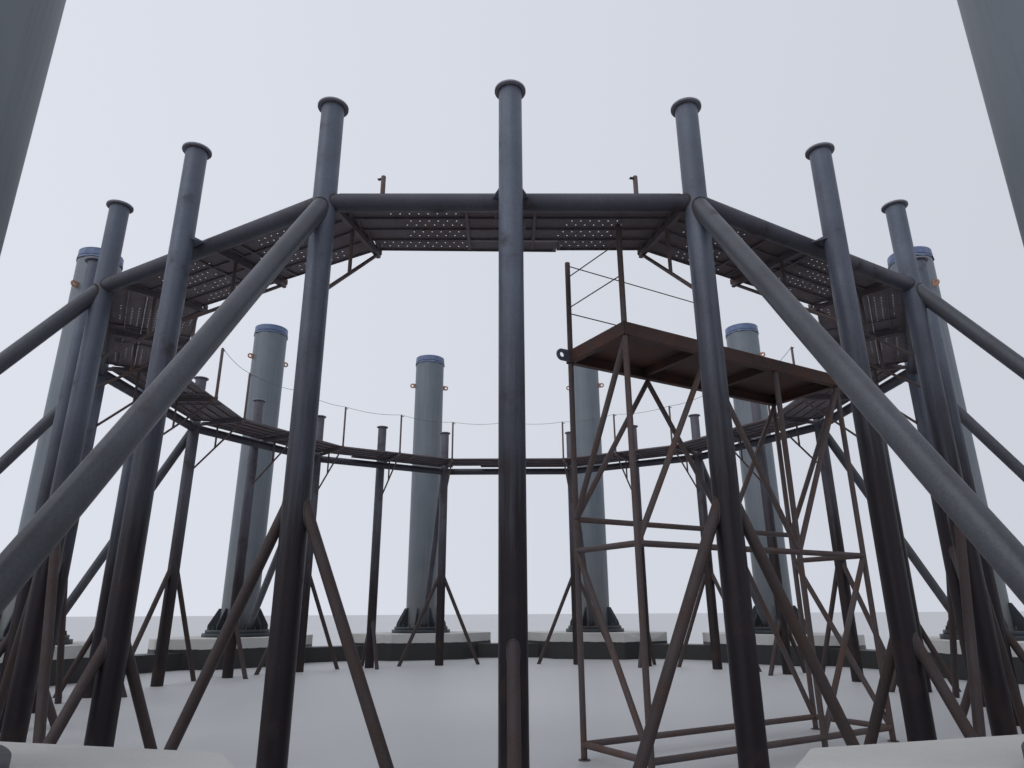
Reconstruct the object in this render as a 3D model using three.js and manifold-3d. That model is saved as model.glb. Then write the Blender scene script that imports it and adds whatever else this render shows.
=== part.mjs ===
// Spherical gas tank at its erection stage: the ring of support posts with its walkway and
// landing, and the lower leg columns of the tank on their foundation.
// Millimetres, +Z up, origin at the centre of the ring on the slab.
import * as THREE from "three";
import { mergeVertices } from "three/addons/utils/BufferGeometryUtils.js";
import Module from "manifold-3d";

const wasm = await Module();
wasm.setup();

// Ring of posts
const STATIONS = 24;
const RING_RADIUS = 7400;
const POST_DIAMETER = 240;
const POST_HEIGHT = 6600;
const HEAD_DIAMETER = 326;
const HEAD_THICKNESS = 25;

// Ring beam, a twelve-sided ring of pipe with its corners on the raked posts
const CORNERS = STATIONS / 2;
const BEAM_DIAMETER = 185;
const BEAM_LEVEL = 5397;
const BEAM_APOTHEM = RING_RADIUS * Math.cos(Math.PI / CORNERS);

// Walkway
const DECK_INNER_APOTHEM = 5950;
const DECK_WIDTH = 1070;
const DECK_THICKNESS = 50;
const DECK_LEVEL = BEAM_LEVEL + BEAM_DIAMETER / 2 + 6;
const DECK_LENGTHS = 4;
const ARM_SIZE = 50;
const KNEE_LEVEL = 4345;
const KNEE_DIAMETER = 42;
const STANCHION_DIAMETER = 48.3;
const STANCHION_HEIGHT = 1050;
const STOUT_STANCHIONS = { diameter: 60, stations: [1, 18, 23] };
const WIRE_DIAMETER = 10;
const WIRE_SAG = 70;
const WIRE_LIFT = 3.4;
const WIRE_STATIONS = { first: 6, last: 18 };

// Foot struts
const STRUT_DIAMETER = 101.6;
const RAKED_STRUT = { level: 2500, foot: 1105 };
const PLAIN_STRUT = { level: 1330, foot: 600 };

// Gusset plate between a plain post and the beam
const GUSSET = { beamWidth: 430, postWidth: 240, thickness: 16 };

// Rakers
const RAKER_DIAMETER = 187;
const RAKER_HEAD_LEVEL = 5400;
const RAKER_FOOT_RADIUS = 10418;

// Leg columns
const COLUMN_CIRCLE = 11040;
const COLUMN_DIAMETER = 1016;
const COLUMN_TOP = 10300;
const COLUMN_SEAT = 760;
const CAP_DEPTH = 260;
const CAP_MARGIN = 14;
const ANCHOR_PLATE = { diameter: 1900, thickness: 100 };
const BASE_PLATE = { diameter: 1740, thickness: 90 };
const BASE_GUSSET = { count: 8, height: 620, reach: 820, thickness: 30, edge: 120 };
const LUG = { below: 1070, outer: 82, hole: 40, thickness: 30, stand: 150, bury: 40 };

// Landing under the walkway, on a braced tower; places are along and across one ring side
const LANDING = { station: 2, start: -2265, length: 3600, inner: 5245, outer: 6315, top: 4315 };
const LANDING_EDGE = { height: 150, width: 75 };
const LANDING_PLATE = 8;
const JOIST = { count: 2, height: 100, width: 60 };
const TOWER_TUBE = 63.5;
const TOWER_BRACE = 63.5;
const TOWER_LEG_SHARES = [0, 2 / 3, 1];
const OUTER_RAILS = [140, 2015];
const INNER_RAILS = [140, 2350];
const GUARD_POST_TOP = 5490;
const GUARD_RAIL = { diameter: 14, sides: 4, inner: [4810, 5450], end: [4880, 5290] };
const PAD_EYE = { outer: 72, hole: 30, thickness: 20, stand: 150 };

// Foundation: an eight-sided footing under each column, and a low beam between the footings
const FOOTING = { inner: 9600, outer: 12480, width: 4600, chamfer: 1200, height: COLUMN_SEAT };
const TIE_BEAM = { apothem: 10700, width: 700, height: 420 };

const GAP = 0.3;
const PIPE_SIDES = 12;
const BAR_SIDES = 6;
const COLUMN_SIDES = 20;

const steel = new THREE.MeshStandardMaterial({ color: 0x2c2e33, roughness: 0.55, metalness: 0.6 });
const rustySteel = new THREE.MeshStandardMaterial({ color: 0x3a2a24, roughness: 0.8, metalness: 0.3 });
const planks = new THREE.MeshStandardMaterial({ color: 0x3b3434, roughness: 0.75, metalness: 0.4 });
const paint = new THREE.MeshStandardMaterial({ color: 0x6f7f84, roughness: 0.6, metalness: 0.1 });
const concrete = new THREE.MeshStandardMaterial({ color: 0x9a9a96, roughness: 0.95, metalness: 0 });
const wireSteel = new THREE.MeshStandardMaterial({ color: 0x55585c, roughness: 0.5, metalness: 0.8 });

const tank = new THREE.Group();

// Solids, made from closed geometries and joined or cut
function solidOf(geometry) {
  geometry.deleteAttribute("normal");
  geometry.deleteAttribute("uv");
  const merged = mergeVertices(geometry, 1e-3);
  return new wasm.Manifold(new wasm.Mesh({
    numProp: 3,
    vertProperties: new Float32Array(merged.attributes.position.array),
    triVerts: new Uint32Array(merged.index.array),
  }));
}

function joined(solids) {
  return solids.reduce((sum, solid) => sum.add(solid));
}

function addPiece(name, solid, material, turn = 0) {
  const mesh = solid.asOriginal().getMesh();
  const geometry = new THREE.BufferGeometry();
  geometry.setAttribute("position", new THREE.BufferAttribute(mesh.vertProperties, 3));
  geometry.setIndex(new THREE.BufferAttribute(mesh.triVerts, 1));
  geometry.computeVertexNormals();
  const piece = new THREE.Mesh(geometry, material);
  piece.name = name;
  piece.rotation.z = turn;
  tank.add(piece);
}

// A station's own frame has +X along the ring and -Y outwards; turning it about Z places it.
function at(along, radius, level) {
  return new THREE.Vector3(along, -radius, level);
}

function stationAngle(station) {
  return (2 * Math.PI * station) / STATIONS;
}

function bar(start, end, diameter, sides = BAR_SIDES) {
  const run = new THREE.Vector3().subVectors(end, start);
  const geometry = new THREE.CylinderGeometry(diameter / 2, diameter / 2, run.length(), sides);
  const axis = new THREE.Vector3(0, 1, 0);
  geometry.applyQuaternion(new THREE.Quaternion().setFromUnitVectors(axis, run.clone().normalize()));
  const middle = new THREE.Vector3().addVectors(start, end).multiplyScalar(0.5);
  geometry.translate(middle.x, middle.y, middle.z);
  return solidOf(geometry);
}

function upright(radius, bottom, top, diameter, sides, along = 0) {
  return bar(at(along, radius, bottom), at(along, radius, top), diameter, sides);
}

function box(width, depth, height, centre) {
  const geometry = new THREE.BoxGeometry(width, depth, height);
  geometry.translate(centre.x, centre.y, centre.z);
  return solidOf(geometry);
}

function plate(points, thickness, level) {
  const shape = new THREE.Shape(points.map(([x, y]) => new THREE.Vector2(x, y)));
  const geometry = new THREE.ExtrudeGeometry(shape, { depth: thickness, bevelEnabled: false });
  geometry.translate(0, 0, level);
  return solidOf(geometry);
}

// Everything below a level is cut off, so that slanting feet stand flush on it
function cutBelow(level, solid) {
  const depth = POST_HEIGHT;
  const span = 4 * COLUMN_CIRCLE;
  return solid.subtract(box(span, span, depth, new THREE.Vector3(0, 0, level - depth / 2)));
}

// Twelve-sided ring of pipe with mitred corners. The margin makes the cutter that leaves
// a gap round it, and the first corner lies at the given angle.
function beamSolid(margin, firstCorner) {
  const half = BEAM_DIAMETER / 2 + margin;
  const profile = [];
  for (let side = 0; side <= PIPE_SIDES; side += 1) {
    const angle = (2 * Math.PI * side) / PIPE_SIDES;
    const outward = (half * Math.cos(angle)) / Math.cos(Math.PI / CORNERS);
    profile.push(new THREE.Vector2(RING_RADIUS + outward, BEAM_LEVEL + half * Math.sin(angle)));
  }
  const geometry = new THREE.LatheGeometry(profile, CORNERS, firstCorner);
  geometry.rotateX(Math.PI / 2);
  return solidOf(geometry);
}

// Deck edge along the ring; a corner lies on each raked post
function deckEdge(station, apothem) {
  const isCorner = station % 2 !== 0;
  return isCorner ? apothem / Math.cos(Math.PI / CORNERS) : apothem;
}

// Two struts from the post down to the slab: along the ring on a raked post, across it on a plain one
function footStruts(station) {
  const raked = station % 2 !== 0;
  const strut = raked ? RAKED_STRUT : PLAIN_STRUT;
  const overrun = STRUT_DIAMETER;
  return [-1, 1].map((side) => {
    const spread = side * strut.foot * (1 + overrun / strut.level);
    const foot = raked ? at(spread, RING_RADIUS, -overrun) : at(0, RING_RADIUS + spread, -overrun);
    return bar(at(0, RING_RADIUS, strut.level), foot, STRUT_DIAMETER);
  });
}

function walkwayBracket(station) {
  const tip = deckEdge(station, DECK_INNER_APOTHEM) - STANCHION_DIAMETER;
  const armLevel = DECK_LEVEL - GAP - ARM_SIZE / 2;
  const length = RING_RADIUS - tip;
  const arm = box(ARM_SIZE, length, ARM_SIZE, at(0, tip + length / 2, armLevel));
  const knee = bar(at(0, RING_RADIUS, KNEE_LEVEL), at(0, tip + ARM_SIZE, armLevel), KNEE_DIAMETER);
  const middle = (RING_RADIUS + tip + ARM_SIZE) / 2;
  const middleLevel = (KNEE_LEVEL + armLevel) / 2;
  const post = bar(at(0, middle, middleLevel), at(0, middle, armLevel), KNEE_DIAMETER);
  const stanchionTop = DECK_LEVEL + DECK_THICKNESS + STANCHION_HEIGHT;
  const isStout = STOUT_STANCHIONS.stations.includes(station);
  const diameter = isStout ? STOUT_STANCHIONS.diameter : STANCHION_DIAMETER;
  const stanchion = upright(tip, armLevel, stanchionTop, diameter, BAR_SIDES);
  return [arm, knee, post, stanchion];
}

function gussetPlate() {
  const level = BEAM_LEVEL - GUSSET.thickness / 2;
  const points = [
    [-GUSSET.beamWidth / 2, -BEAM_APOTHEM],
    [GUSSET.beamWidth / 2, -BEAM_APOTHEM],
    [GUSSET.postWidth / 2, -RING_RADIUS],
    [-GUSSET.postWidth / 2, -RING_RADIUS],
  ];
  return plate(points.reverse(), GUSSET.thickness, level);
}

function postSolid(station) {
  const headBottom = POST_HEIGHT - HEAD_THICKNESS;
  const parts = [
    upright(RING_RADIUS, 0, POST_HEIGHT, POST_DIAMETER, PIPE_SIDES),
    upright(RING_RADIUS, headBottom, POST_HEIGHT, HEAD_DIAMETER, PIPE_SIDES),
    ...footStruts(station),
    ...walkwayBracket(station),
  ];
  const isCorner = station % 2 !== 0;
  if (!isCorner) {
    parts.push(gussetPlate());
  }
  const cutter = beamSolid(GAP, isCorner ? 0 : stationAngle(1));
  return cutBelow(0, joined(parts)).subtract(cutter);
}

function rakerSolid() {
  const seat = COLUMN_SEAT + GAP + ANCHOR_PLATE.thickness + BASE_PLATE.thickness;
  const head = at(0, RING_RADIUS, RAKER_HEAD_LEVEL);
  const foot = at(0, RAKER_FOOT_RADIUS, seat);
  const overrun = new THREE.Vector3().subVectors(foot, head).setLength(RAKER_DIAMETER);
  const pipe = bar(head, foot.add(overrun), RAKER_DIAMETER, PIPE_SIDES);
  const post = upright(RING_RADIUS, 0, POST_HEIGHT, POST_DIAMETER + 2 * GAP, PIPE_SIDES);
  const shaft = upright(COLUMN_CIRCLE, 0, COLUMN_TOP, COLUMN_DIAMETER + 2 * GAP, COLUMN_SIDES);
  return cutBelow(seat + GAP, pipe.subtract(post).subtract(shaft));
}

function columnSolid() {
  const bottom = COLUMN_SEAT + GAP;
  const plateBottom = bottom + ANCHOR_PLATE.thickness;
  const plateTop = plateBottom + BASE_PLATE.thickness;
  const capBottom = COLUMN_TOP - CAP_DEPTH;
  const capDiameter = COLUMN_DIAMETER + 2 * CAP_MARGIN;
  const parts = [
    upright(COLUMN_CIRCLE, bottom, COLUMN_TOP, COLUMN_DIAMETER, COLUMN_SIDES),
    upright(COLUMN_CIRCLE, capBottom, COLUMN_TOP + CAP_MARGIN, capDiameter, COLUMN_SIDES),
    upright(COLUMN_CIRCLE, bottom, plateBottom, ANCHOR_PLATE.diameter, COLUMN_SIDES),
    upright(COLUMN_CIRCLE, plateBottom, plateTop, BASE_PLATE.diameter, COLUMN_SIDES),
    liftingLug(-1),
    liftingLug(1),
  ];
  for (let index = 0; index < BASE_GUSSET.count; index += 1) {
    const turn = ((index + 0.5) * 360) / BASE_GUSSET.count;
    const gusset = baseGusset(plateTop - BASE_PLATE.thickness / 2);
    parts.push(gusset.rotate([0, 0, turn]).translate([0, -COLUMN_CIRCLE, 0]));
  }
  return joined(parts);
}

// Triangular stiffener in the plane of the column's axis
function baseGusset(bottom) {
  const top = bottom + BASE_GUSSET.height;
  const root = COLUMN_DIAMETER / 2 - BASE_GUSSET.thickness;
  const shape = new THREE.Shape([
    new THREE.Vector2(root, bottom),
    new THREE.Vector2(BASE_GUSSET.reach, bottom),
    new THREE.Vector2(BASE_GUSSET.reach, bottom + BASE_GUSSET.edge),
    new THREE.Vector2(COLUMN_DIAMETER / 2 + BASE_GUSSET.edge / 2, top),
    new THREE.Vector2(root, top),
  ]);
  const depth = BASE_GUSSET.thickness;
  const geometry = new THREE.ExtrudeGeometry(shape, { depth, bevelEnabled: false });
  geometry.translate(0, 0, -depth / 2);
  geometry.rotateX(Math.PI / 2);
  return solidOf(geometry);
}

// Upright plate with a round end and a hole, standing out along +X from its root at the origin
function eyePlate(eye) {
  const shape = new THREE.Shape();
  shape.absarc(0, 0, eye.outer, -Math.PI / 2, Math.PI / 2);
  shape.lineTo(-eye.stand, eye.outer);
  shape.lineTo(-eye.stand, -eye.outer);
  const hole = new THREE.Path();
  hole.absarc(0, 0, eye.hole, 0, 2 * Math.PI, true);
  shape.holes.push(hole);
  const depth = eye.thickness;
  const geometry = new THREE.ExtrudeGeometry(shape, { depth, bevelEnabled: false, curveSegments: 3 });
  geometry.translate(eye.stand, 0, -depth / 2);
  geometry.rotateX(Math.PI / 2);
  return solidOf(geometry);
}

function liftingLug(side) {
  const root = COLUMN_DIAMETER / 2 - LUG.bury;
  const turn = side > 0 ? 0 : 180;
  const place = at(0, COLUMN_CIRCLE, COLUMN_TOP - LUG.below);
  return eyePlate(LUG).translate([root, 0, 0]).rotate([0, 0, turn]).translate(place.toArray());
}

// One length of the walkway, three sides of the ring long
function deckLength(index) {
  const sides = CORNERS / DECK_LENGTHS;
  const outline = [];
  const back = [];
  for (let step = 0; step <= sides; step += 1) {
    const station = 2 * (index * sides + step) - 1;
    const angle = stationAngle(station);
    const inset = step === 0 ? GAP : step === sides ? -GAP : 0;
    const inner = deckEdge(station, DECK_INNER_APOTHEM);
    const outer = deckEdge(station, DECK_INNER_APOTHEM + DECK_WIDTH);
    outline.push([outer * Math.sin(angle + inset / outer), -outer * Math.cos(angle + inset / outer)]);
    back.unshift([inner * Math.sin(angle + inset / inner), -inner * Math.cos(angle + inset / inner)]);
  }
  return plate([...outline, ...back], DECK_THICKNESS, DECK_LEVEL);
}

// Guard wire through the tops of the stanchions, sagging a little between them
function guardWire() {
  const stepsPerBay = 4;
  const { first, last } = WIRE_STATIONS;
  const points = [];
  for (let step = 0; step <= (last - first) * stepsPerBay; step += 1) {
    const station = first + Math.floor(step / stepsPerBay);
    const share = (step % stepsPerBay) / stepsPerBay;
    const ends = [station, station + 1].map((index) => {
      const radius = deckEdge(index, DECK_INNER_APOTHEM) - STANCHION_DIAMETER;
      const angle = stationAngle(index);
      return at(radius * Math.sin(angle), radius * Math.cos(angle), 0);
    });
    const point = new THREE.Vector3().lerpVectors(ends[0], ends[1], share);
    const sag = 4 * WIRE_SAG * share * (1 - share);
    point.z = DECK_LEVEL + DECK_THICKNESS + STANCHION_HEIGHT + WIRE_DIAMETER / 2 + WIRE_LIFT - sag;
    points.push(point);
  }
  const path = new THREE.CatmullRomCurve3(points, false, "centripetal");
  const section = new THREE.Shape();
  section.absarc(0, 0, WIRE_DIAMETER / 2, 0, 2 * Math.PI);
  const geometry = new THREE.ExtrudeGeometry(section, {
    extrudePath: path,
    steps: points.length - 1,
    curveSegments: 2,
  });
  return solidOf(geometry);
}

// The tower's legs stand in two rows, one under each long edge of the landing
const OUTER_ROW = LANDING.outer - LANDING_EDGE.width / 2;
const INNER_ROW = LANDING.inner + LANDING_EDGE.width / 2;
const ROW_START = LANDING.start + LANDING_EDGE.width / 2;
const ROW_LENGTH = LANDING.length - LANDING_EDGE.width;
const [FIRST_LEG, MIDDLE_LEG, LAST_LEG] = TOWER_LEG_SHARES.map((share) => ROW_START + ROW_LENGTH * share);
const PEAK = (FIRST_LEG + MIDDLE_LEG) / 2;
const LEG_TOP = LANDING.top - LANDING_EDGE.height - GAP;
const BRACE_TOP = LEG_TOP - TOWER_TUBE / 2;

// Legs, rails and the upper diagonals of one row; tops are the three legs' ends
function legRow(row, rails, tops, lowerDiagonal, margin) {
  const middleRail = rails[1];
  const tube = TOWER_TUBE + 2 * margin;
  const brace = TOWER_BRACE + 2 * margin;
  const legs = [FIRST_LEG, MIDDLE_LEG, LAST_LEG];
  const parts = legs.map((along, leg) => upright(row, 0, tops[leg], tube, BAR_SIDES, along));
  for (const level of rails) {
    parts.push(bar(at(FIRST_LEG, row, level), at(LAST_LEG, row, level), brace));
  }
  const diagonals = [
    [at(PEAK, row, BRACE_TOP), at(FIRST_LEG, row, middleRail)],
    [at(PEAK, row, BRACE_TOP), at(MIDDLE_LEG, row, middleRail)],
    [at(LAST_LEG, row, BRACE_TOP), at(MIDDLE_LEG, row, middleRail)],
    lowerDiagonal,
  ];
  for (const [start, end] of diagonals) {
    parts.push(bar(start, end, brace));
  }
  return joined(parts);
}

function innerFrame(margin = 0) {
  const [footRail, middleRail] = INNER_RAILS;
  const tops = [GUARD_POST_TOP, GUARD_POST_TOP, LEG_TOP];
  const lowerDiagonal = [at(MIDDLE_LEG, INNER_ROW, middleRail), at(LAST_LEG, INNER_ROW, footRail)];
  const parts = [legRow(INNER_ROW, INNER_RAILS, tops, lowerDiagonal, margin)];
  for (const level of GUARD_RAIL.inner) {
    const end = at(MIDDLE_LEG, INNER_ROW, level);
    parts.push(bar(at(FIRST_LEG, INNER_ROW, level), end, GUARD_RAIL.diameter, GUARD_RAIL.sides));
  }
  return joined(parts);
}

function outerRow(margin = 0) {
  const [footRail, middleRail] = OUTER_RAILS;
  const tops = [DECK_LEVEL - GAP, LEG_TOP, LEG_TOP];
  const lowerDiagonal = [at(LAST_LEG, OUTER_ROW, middleRail), at(MIDDLE_LEG, OUTER_ROW, footRail)];
  return legRow(OUTER_ROW, OUTER_RAILS, tops, lowerDiagonal, margin);
}

// Rails and diagonals across the tower's ends, which join the outer row to the inner one
function endMembers() {
  const [footRail, middleRail] = OUTER_RAILS;
  const parts = [];
  for (const along of [FIRST_LEG, LAST_LEG]) {
    const runs = [
      [at(along, OUTER_ROW, footRail), at(along, INNER_ROW, footRail)],
      [at(along, OUTER_ROW, middleRail), at(along, INNER_ROW, middleRail)],
      [at(along, OUTER_ROW, BRACE_TOP), at(along, INNER_ROW, INNER_RAILS[1])],
      [at(along, INNER_ROW, middleRail), at(along, OUTER_ROW, footRail)],
    ];
    for (const [start, end] of runs) {
      parts.push(bar(start, end, TOWER_BRACE));
    }
  }
  for (const level of GUARD_RAIL.end) {
    const end = at(FIRST_LEG, INNER_ROW, level);
    parts.push(bar(at(FIRST_LEG, OUTER_ROW, level), end, GUARD_RAIL.diameter, GUARD_RAIL.sides));
  }
  return joined(parts);
}

function outerFrame() {
  return joined([outerRow(), endMembers().subtract(innerFrame(GAP))]);
}

function landingPlatform() {
  const bottom = LANDING.top - LANDING_EDGE.height;
  const middle = LANDING.start + LANDING.length / 2;
  const centre = (LANDING.inner + LANDING.outer) / 2;
  const depth = LANDING.outer - LANDING.inner;
  const edgeLevel = bottom + LANDING_EDGE.height / 2;
  const hollowTop = LANDING.top - LANDING_PLATE;
  const outside = box(LANDING.length, depth, LANDING_EDGE.height, at(middle, centre, edgeLevel));
  const inside = box(
    LANDING.length - 2 * LANDING_EDGE.width,
    depth - 2 * LANDING_EDGE.width,
    LANDING_EDGE.height,
    at(middle, centre, hollowTop - LANDING_EDGE.height / 2),
  );
  const parts = [outside.subtract(inside)];
  for (let joist = 1; joist <= JOIST.count; joist += 1) {
    const along = LANDING.start + (LANDING.length * joist) / (JOIST.count + 1);
    const level = hollowTop - JOIST.height / 2;
    parts.push(box(JOIST.width, depth - LANDING_EDGE.width, JOIST.height, at(along, centre, level)));
  }
  const eyeRoot = at(ROW_START, LANDING.inner + LANDING_EDGE.width, edgeLevel);
  parts.push(eyePlate(PAD_EYE).rotate([0, 0, 180]).translate(eyeRoot.toArray()));
  return joined(parts).subtract(innerFrame(GAP)).subtract(outerRow(GAP));
}

function footing() {
  const { inner, outer, width, chamfer, height } = FOOTING;
  const outline = [
    [width / 2, -inner - chamfer],
    [width / 2 - chamfer, -inner],
    [chamfer - width / 2, -inner],
    [-width / 2, -inner - chamfer],
    [-width / 2, chamfer - outer],
    [chamfer - width / 2, -outer],
    [width / 2 - chamfer, -outer],
    [width / 2, chamfer - outer],
  ];
  return plate(outline, height, 0);
}

function foundationSolid() {
  const parts = [];
  for (let corner = 0; corner < CORNERS; corner += 1) {
    const turn = THREE.MathUtils.radToDeg(stationAngle(2 * corner + 1));
    parts.push(footing().rotate([0, 0, turn]));
  }
  parts.push(tieBeamRing());
  return joined(parts);
}

function tieBeamRing() {
  const ring = (apothem) => {
    const points = [];
    for (let corner = 0; corner < CORNERS; corner += 1) {
      const angle = stationAngle(2 * corner + 1);
      const radius = apothem / Math.cos(Math.PI / CORNERS);
      points.push(new THREE.Vector2(radius * Math.sin(angle), -radius * Math.cos(angle)));
    }
    return points;
  };
  const shape = new THREE.Shape(ring(TIE_BEAM.apothem + TIE_BEAM.width / 2));
  shape.holes.push(new THREE.Path(ring(TIE_BEAM.apothem - TIE_BEAM.width / 2)));
  const geometry = new THREE.ExtrudeGeometry(shape, { depth: TIE_BEAM.height, bevelEnabled: false });
  return solidOf(geometry);
}

for (let station = 0; station < STATIONS; station += 1) {
  const kind = station % 2 === 0 ? "plain_post" : "raked_post";
  const number = String(Math.floor(station / 2) + 1).padStart(2, "0");
  addPiece(`${kind}_${number}`, postSolid(station), steel, stationAngle(station));
}
addPiece("ring_beam", beamSolid(0, stationAngle(1)), steel);

for (let index = 0; index < DECK_LENGTHS; index += 1) {
  addPiece(`walkway_deck_${index + 1}`, deckLength(index), planks);
}
addPiece("guard_wire", guardWire(), wireSteel);

const raker = rakerSolid();
const column = columnSolid();
for (let corner = 0; corner < CORNERS; corner += 1) {
  const number = String(corner + 1).padStart(2, "0");
  const turn = stationAngle(2 * corner + 1);
  addPiece(`raker_${number}`, raker, rustySteel, turn);
  addPiece(`leg_column_${number}`, column, paint, turn);
}
const landingTurn = stationAngle(LANDING.station);
addPiece("landing_platform", landingPlatform(), planks, landingTurn);
addPiece("landing_tower_outer_frame", outerFrame(), rustySteel, landingTurn);
addPiece("landing_tower_inner_frame", innerFrame(), rustySteel, landingTurn);
addPiece("foundation", foundationSolid(), concrete);

export default tank;
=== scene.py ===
import math
import random

import bmesh
import bpy
from mathutils import Matrix, Vector


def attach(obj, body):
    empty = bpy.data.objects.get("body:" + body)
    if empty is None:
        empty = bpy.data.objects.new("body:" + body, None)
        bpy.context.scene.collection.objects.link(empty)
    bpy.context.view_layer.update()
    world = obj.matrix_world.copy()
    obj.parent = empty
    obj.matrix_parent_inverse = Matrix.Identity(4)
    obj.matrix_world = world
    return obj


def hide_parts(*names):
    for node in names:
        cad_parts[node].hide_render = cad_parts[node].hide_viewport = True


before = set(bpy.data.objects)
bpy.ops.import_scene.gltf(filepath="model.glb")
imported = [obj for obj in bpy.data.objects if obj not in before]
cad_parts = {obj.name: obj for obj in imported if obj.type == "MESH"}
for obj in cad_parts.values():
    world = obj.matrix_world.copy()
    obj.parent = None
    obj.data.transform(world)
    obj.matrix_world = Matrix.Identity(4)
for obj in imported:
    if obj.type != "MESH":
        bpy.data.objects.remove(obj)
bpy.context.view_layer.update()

# Sizes in metres. A station's own frame has +X along the ring and -Y outwards.
STATIONS = 24
CORNERS = STATIONS // 2
MITRE = math.cos(math.pi / CORNERS)
RING = 7.4
POST_RADIUS = 0.12
POST_TOP = 6.6
HEAD_RADIUS = 0.163
HEAD_THICKNESS = 0.025
BEAM_RADIUS = 0.0925
BEAM_LEVEL = 5.397
BEAM_APOTHEM = RING * MITRE
DECK_INNER = 5.95
DECK_WIDTH = 1.07
DECK_BOTTOM = BEAM_LEVEL + BEAM_RADIUS + 0.006
DECK_TOP = DECK_BOTTOM + 0.05
ARM = 0.05
KNEE_LEVEL = 4.345
KNEE_RADIUS = 0.021
STANCHION_RADIUS = 0.02415
STOUT = {"radius": 0.03, "stations": (1, 18, 23)}
RUSTIER = range(7, 18)
STANCHION_TOP = DECK_TOP + 1.05
WIRE_RADIUS = 0.005
WIRE_SAG = 0.07
WIRE_LIFT = 0.0034
WIRE_STATIONS = (6, 18)
STRUT_RADIUS = 0.0508
RAKED_STRUT = {"level": 2.5, "foot": 1.105}
PLAIN_STRUT = {"level": 1.33, "foot": 0.6}
RAKER_RADIUS = 0.0935
RAKER_HEAD = 5.4
RAKER_FOOT = 10.418
COLUMN_CIRCLE = 11.04
COLUMN_RADIUS = 0.508
COLUMN_TOP = 10.3
COLUMN_SEAT = 0.7603
ANCHOR_PLATE = {"radius": 0.95, "thickness": 0.1}
BASE_PLATE = {"radius": 0.87, "thickness": 0.09}
PLATE_TOP = COLUMN_SEAT + ANCHOR_PLATE["thickness"] + BASE_PLATE["thickness"]
SUPPORT = 0.03
CLEARANCE = 0.0003
BEADS = {"knee": 0.004, "pipe": 0.007, "raker": 0.008, "column": 0.011}
SQUARE = ((-1, -1), (1, -1), (1, 1), (-1, 1))
UP = Vector((0, 0, 1))
ALONG = Vector((1, 0, 0))
INWARD = Vector((0, 1, 0))


def at(along, radius, level):
    return Vector((along, -radius, level))


def heading(angle):
    return Vector((math.cos(angle), math.sin(angle), 0))


def station_turn(station):
    return Matrix.Rotation(2 * math.pi * station / STATIONS, 4, "Z")


def is_raked(station):
    return station % 2 == 1


def kind(station):
    return "raked" if is_raked(station) else "plain"


def deck_edge(station, apothem):
    return apothem / MITRE if is_raked(station) else apothem


def stanchion_row(station):
    return deck_edge(station, DECK_INNER) - 2 * STANCHION_RADIUS


def stanchion_radius(station):
    is_stout = station in STOUT["stations"]
    return STOUT["radius"] if is_stout else STANCHION_RADIUS


# Node materials
class Nodes:
    """A node tree, with one node's output as its texture space."""

    def __init__(self, owner, shader, source, output):
        owner.use_nodes = True
        self.tree = owner.node_tree
        self.shader = self.tree.nodes[shader]
        self.place = self.add(source).outputs[output]

    def add(self, kind, inputs=None, **settings):
        node = self.tree.nodes.new(kind)
        for key, value in settings.items():
            setattr(node, key, value)
        for key, value in (inputs or {}).items():
            self.feed(node.inputs[key], value)
        return node

    def feed(self, socket, value):
        if isinstance(value, bpy.types.NodeSocket):
            self.tree.links.new(value, socket)
        else:
            socket.default_value = value

    def scaled(self, factors):
        settings = {0: self.place, 1: factors}
        return self.add("ShaderNodeVectorMath", settings, operation="MULTIPLY").outputs[0]

    def noise(self, scale, detail=4, rough=0.55, factors=None):
        place = self.scaled(factors) if factors else self.place
        inputs = {"Vector": place, "Scale": scale, "Detail": detail, "Roughness": rough}
        return self.add("ShaderNodeTexNoise", inputs).outputs["Fac"]

    def wave(self, place, scale, distortion):
        inputs = {"Vector": place, "Scale": scale, "Distortion": distortion}
        return self.add("ShaderNodeTexWave", inputs, bands_direction="DIAGONAL").outputs["Fac"]

    def part(self, axis):
        return self.add("ShaderNodeSeparateXYZ", {0: self.place}).outputs[axis]

    def spread(self, value, low, high, to_low=0.0, to_high=1.0):
        inputs = {"Value": value, "From Min": low, "From Max": high, "To Min": to_low, "To Max": to_high}
        return self.add("ShaderNodeMapRange", inputs).outputs["Result"]

    def maths(self, operation, first, second):
        return self.add("ShaderNodeMath", {0: first, 1: second}, operation=operation).outputs[0]

    def mix(self, share, first, second):
        node = self.add("ShaderNodeMix", data_type="RGBA")
        self.feed(node.inputs[0], share)
        for index, colour in ((6, first), (7, second)):
            value = colour if isinstance(colour, bpy.types.NodeSocket) else (*colour, 1)
            self.feed(node.inputs[index], value)
        return node.outputs[2]


class Look(Nodes):
    """A material made of nodes, with the position in the shared frame as its texture space."""

    def __init__(self, name):
        self.material = bpy.data.materials.new(name)
        super().__init__(self.material, "Principled BSDF", "ShaderNodeNewGeometry", "Position")

    def finish(self, colour, roughness, bumps=(), metallic=0.0, **uniform):
        self.feed(self.shader.inputs["Base Color"], colour)
        self.feed(self.shader.inputs["Roughness"], roughness)
        self.feed(self.shader.inputs["Metallic"], metallic)
        for key, value in uniform.items():
            self.feed(self.shader.inputs[key.replace("_", " ")], value)
        normal = None
        for height, strength, distance in bumps:
            inputs = {"Height": height, "Strength": strength, "Distance": distance}
            if normal is not None:
                inputs["Normal"] = normal
            normal = self.add("ShaderNodeBump", inputs).outputs["Normal"]
        if normal is not None:
            self.feed(self.shader.inputs["Normal"], normal)
        return self.material


# The foot of a post is dark up to a wavering line, which lies higher towards +X: partly rust and partly
# painted shade, with more painted shade on the +X side
FOOT_RUST_AND_SHADE_BAND = (1.9, 4.5)
FOOT_RUST_AND_SHADE_WAVER = 0.5
FOOT_RUST_AND_SHADE_CLIMB = (0.5, 2.5, 0.0, 0.9)


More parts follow.
